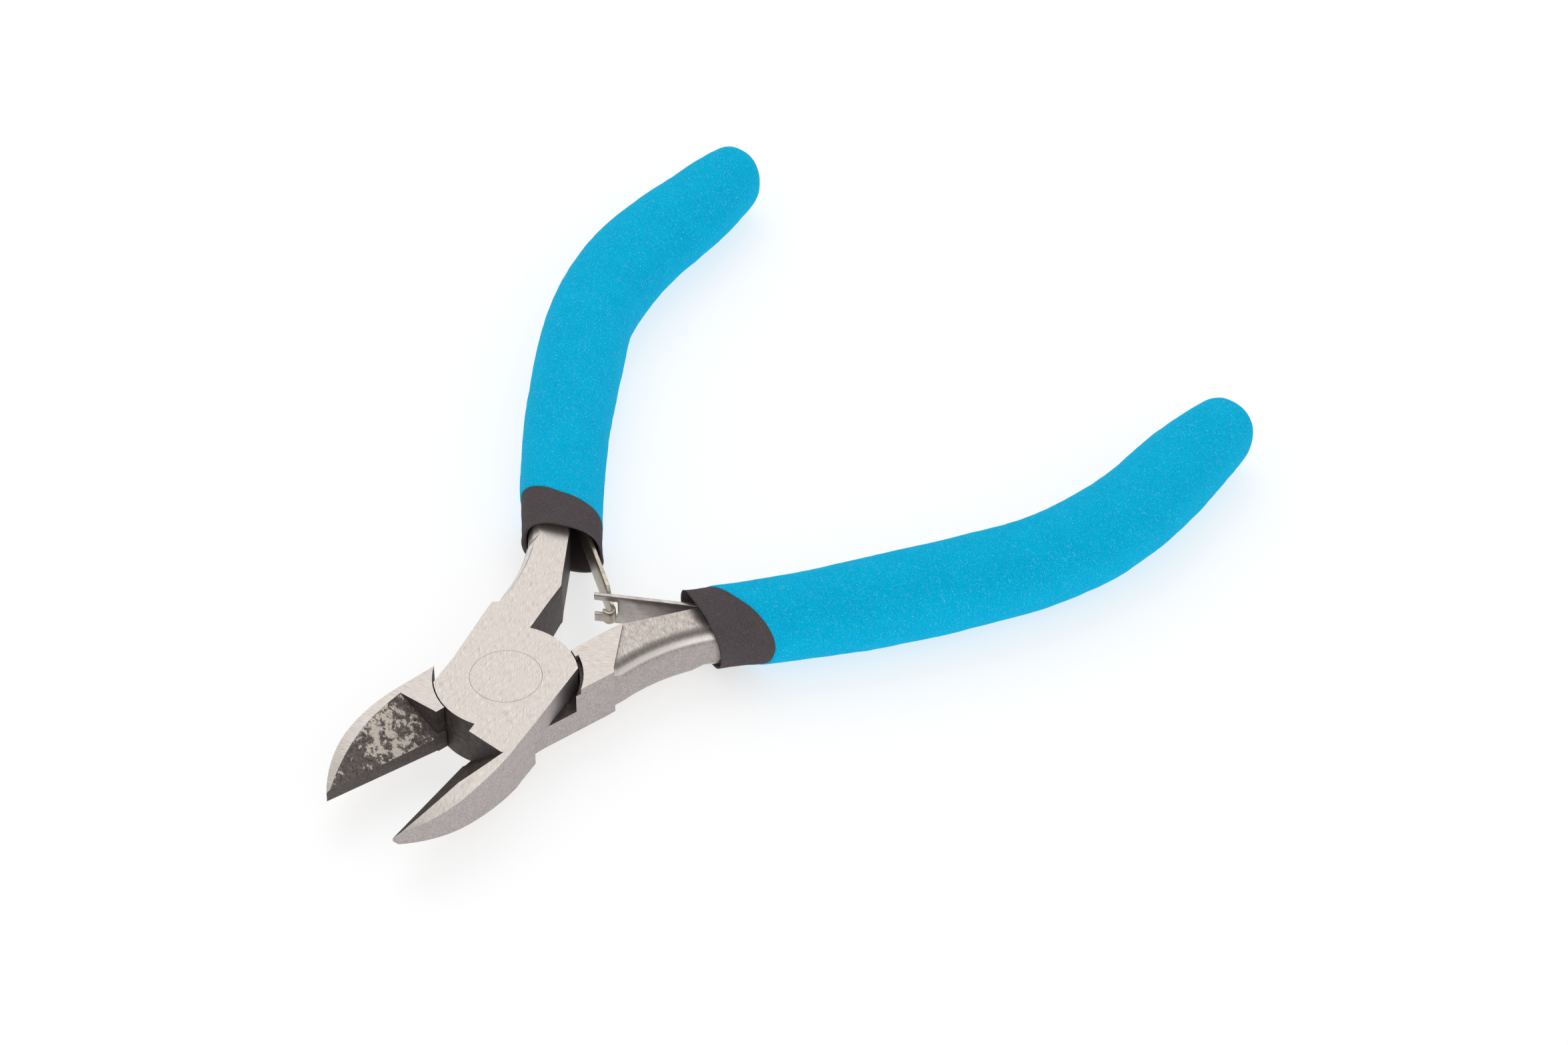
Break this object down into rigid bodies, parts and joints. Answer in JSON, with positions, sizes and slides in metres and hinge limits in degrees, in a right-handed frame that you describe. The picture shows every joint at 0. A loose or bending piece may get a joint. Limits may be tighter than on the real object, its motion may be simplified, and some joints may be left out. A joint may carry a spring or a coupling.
{
  "type": "diagonal cutting pliers",
  "caption": "Small diagonal cutting pliers: two lapped steel levers on a flush rivet, interlocked leaf return springs, curved handles with foam sleeves",
  "frame": {"origin": "on the pivot axis, at the joint's ground back face", "axes": "+Y along the tool's centre line towards the handle ends, jaws towards -Y, +Z out of the joint's front face; drawn half open, each lever turned 11 degrees from closed"},
  "size_m": [0.0818, 0.109, 0.01],
  "materials": {
    "lever_steel": "ground flats with fine streaks, dark scale in the recesses",
    "rivet_steel": "ground flush with the joint",
    "inner_foam": "matt fine-pored black foam",
    "outer_foam": "matt fine-pored bright blue foam",
    "spring_steel": "satin strip with bright sheared edges"
  },
  "bodies": {
    "upper_half": {"upper_lever": "lever_steel", "pivot_rivet": "rivet_steel", "left_inner_sleeve": "inner_foam", "left_outer_sleeve": "outer_foam", "left_spring_root": "spring_steel", "left_spring_stud": "spring_steel"},
    "lower_half": {"lower_lever": "lever_steel", "right_inner_sleeve": "inner_foam", "right_outer_sleeve": "outer_foam", "right_spring_root": "spring_steel", "right_spring_stud": "spring_steel"},
    "left_leaf": {"left_spring_leaf": "spring_steel"},
    "right_leaf": {"right_spring_leaf": "spring_steel"}
  },
  "joints": [
    {"name": "jaw_pivot", "type": "hinge", "parent": "upper_half", "child": "lower_half", "pos_m": [0, 0, 0.003], "axis": [0, 0, 1], "range_deg": [-3, 22], "stiffness_Nm_per_rad": 0.6},
    {"name": "left_leaf_flex", "type": "hinge", "parent": "upper_half", "child": "left_leaf", "pos_m": [-0.01405, 0.02757, 0.003], "axis": [0, 0, 1], "range_deg": [-14.2, 2]},
    {"name": "right_leaf_flex", "type": "hinge", "parent": "lower_half", "child": "right_leaf", "pos_m": [0.01017, 0.02305, 0.003], "axis": [0, 0, 1], "range_deg": [-3, 21.4]}
  ],
  "couplings": [
    {"joint": "left_leaf_flex", "follows": "jaw_pivot", "ratio": -0.641},
    {"joint": "right_leaf_flex", "follows": "jaw_pivot", "ratio": 0.968}
  ]
}
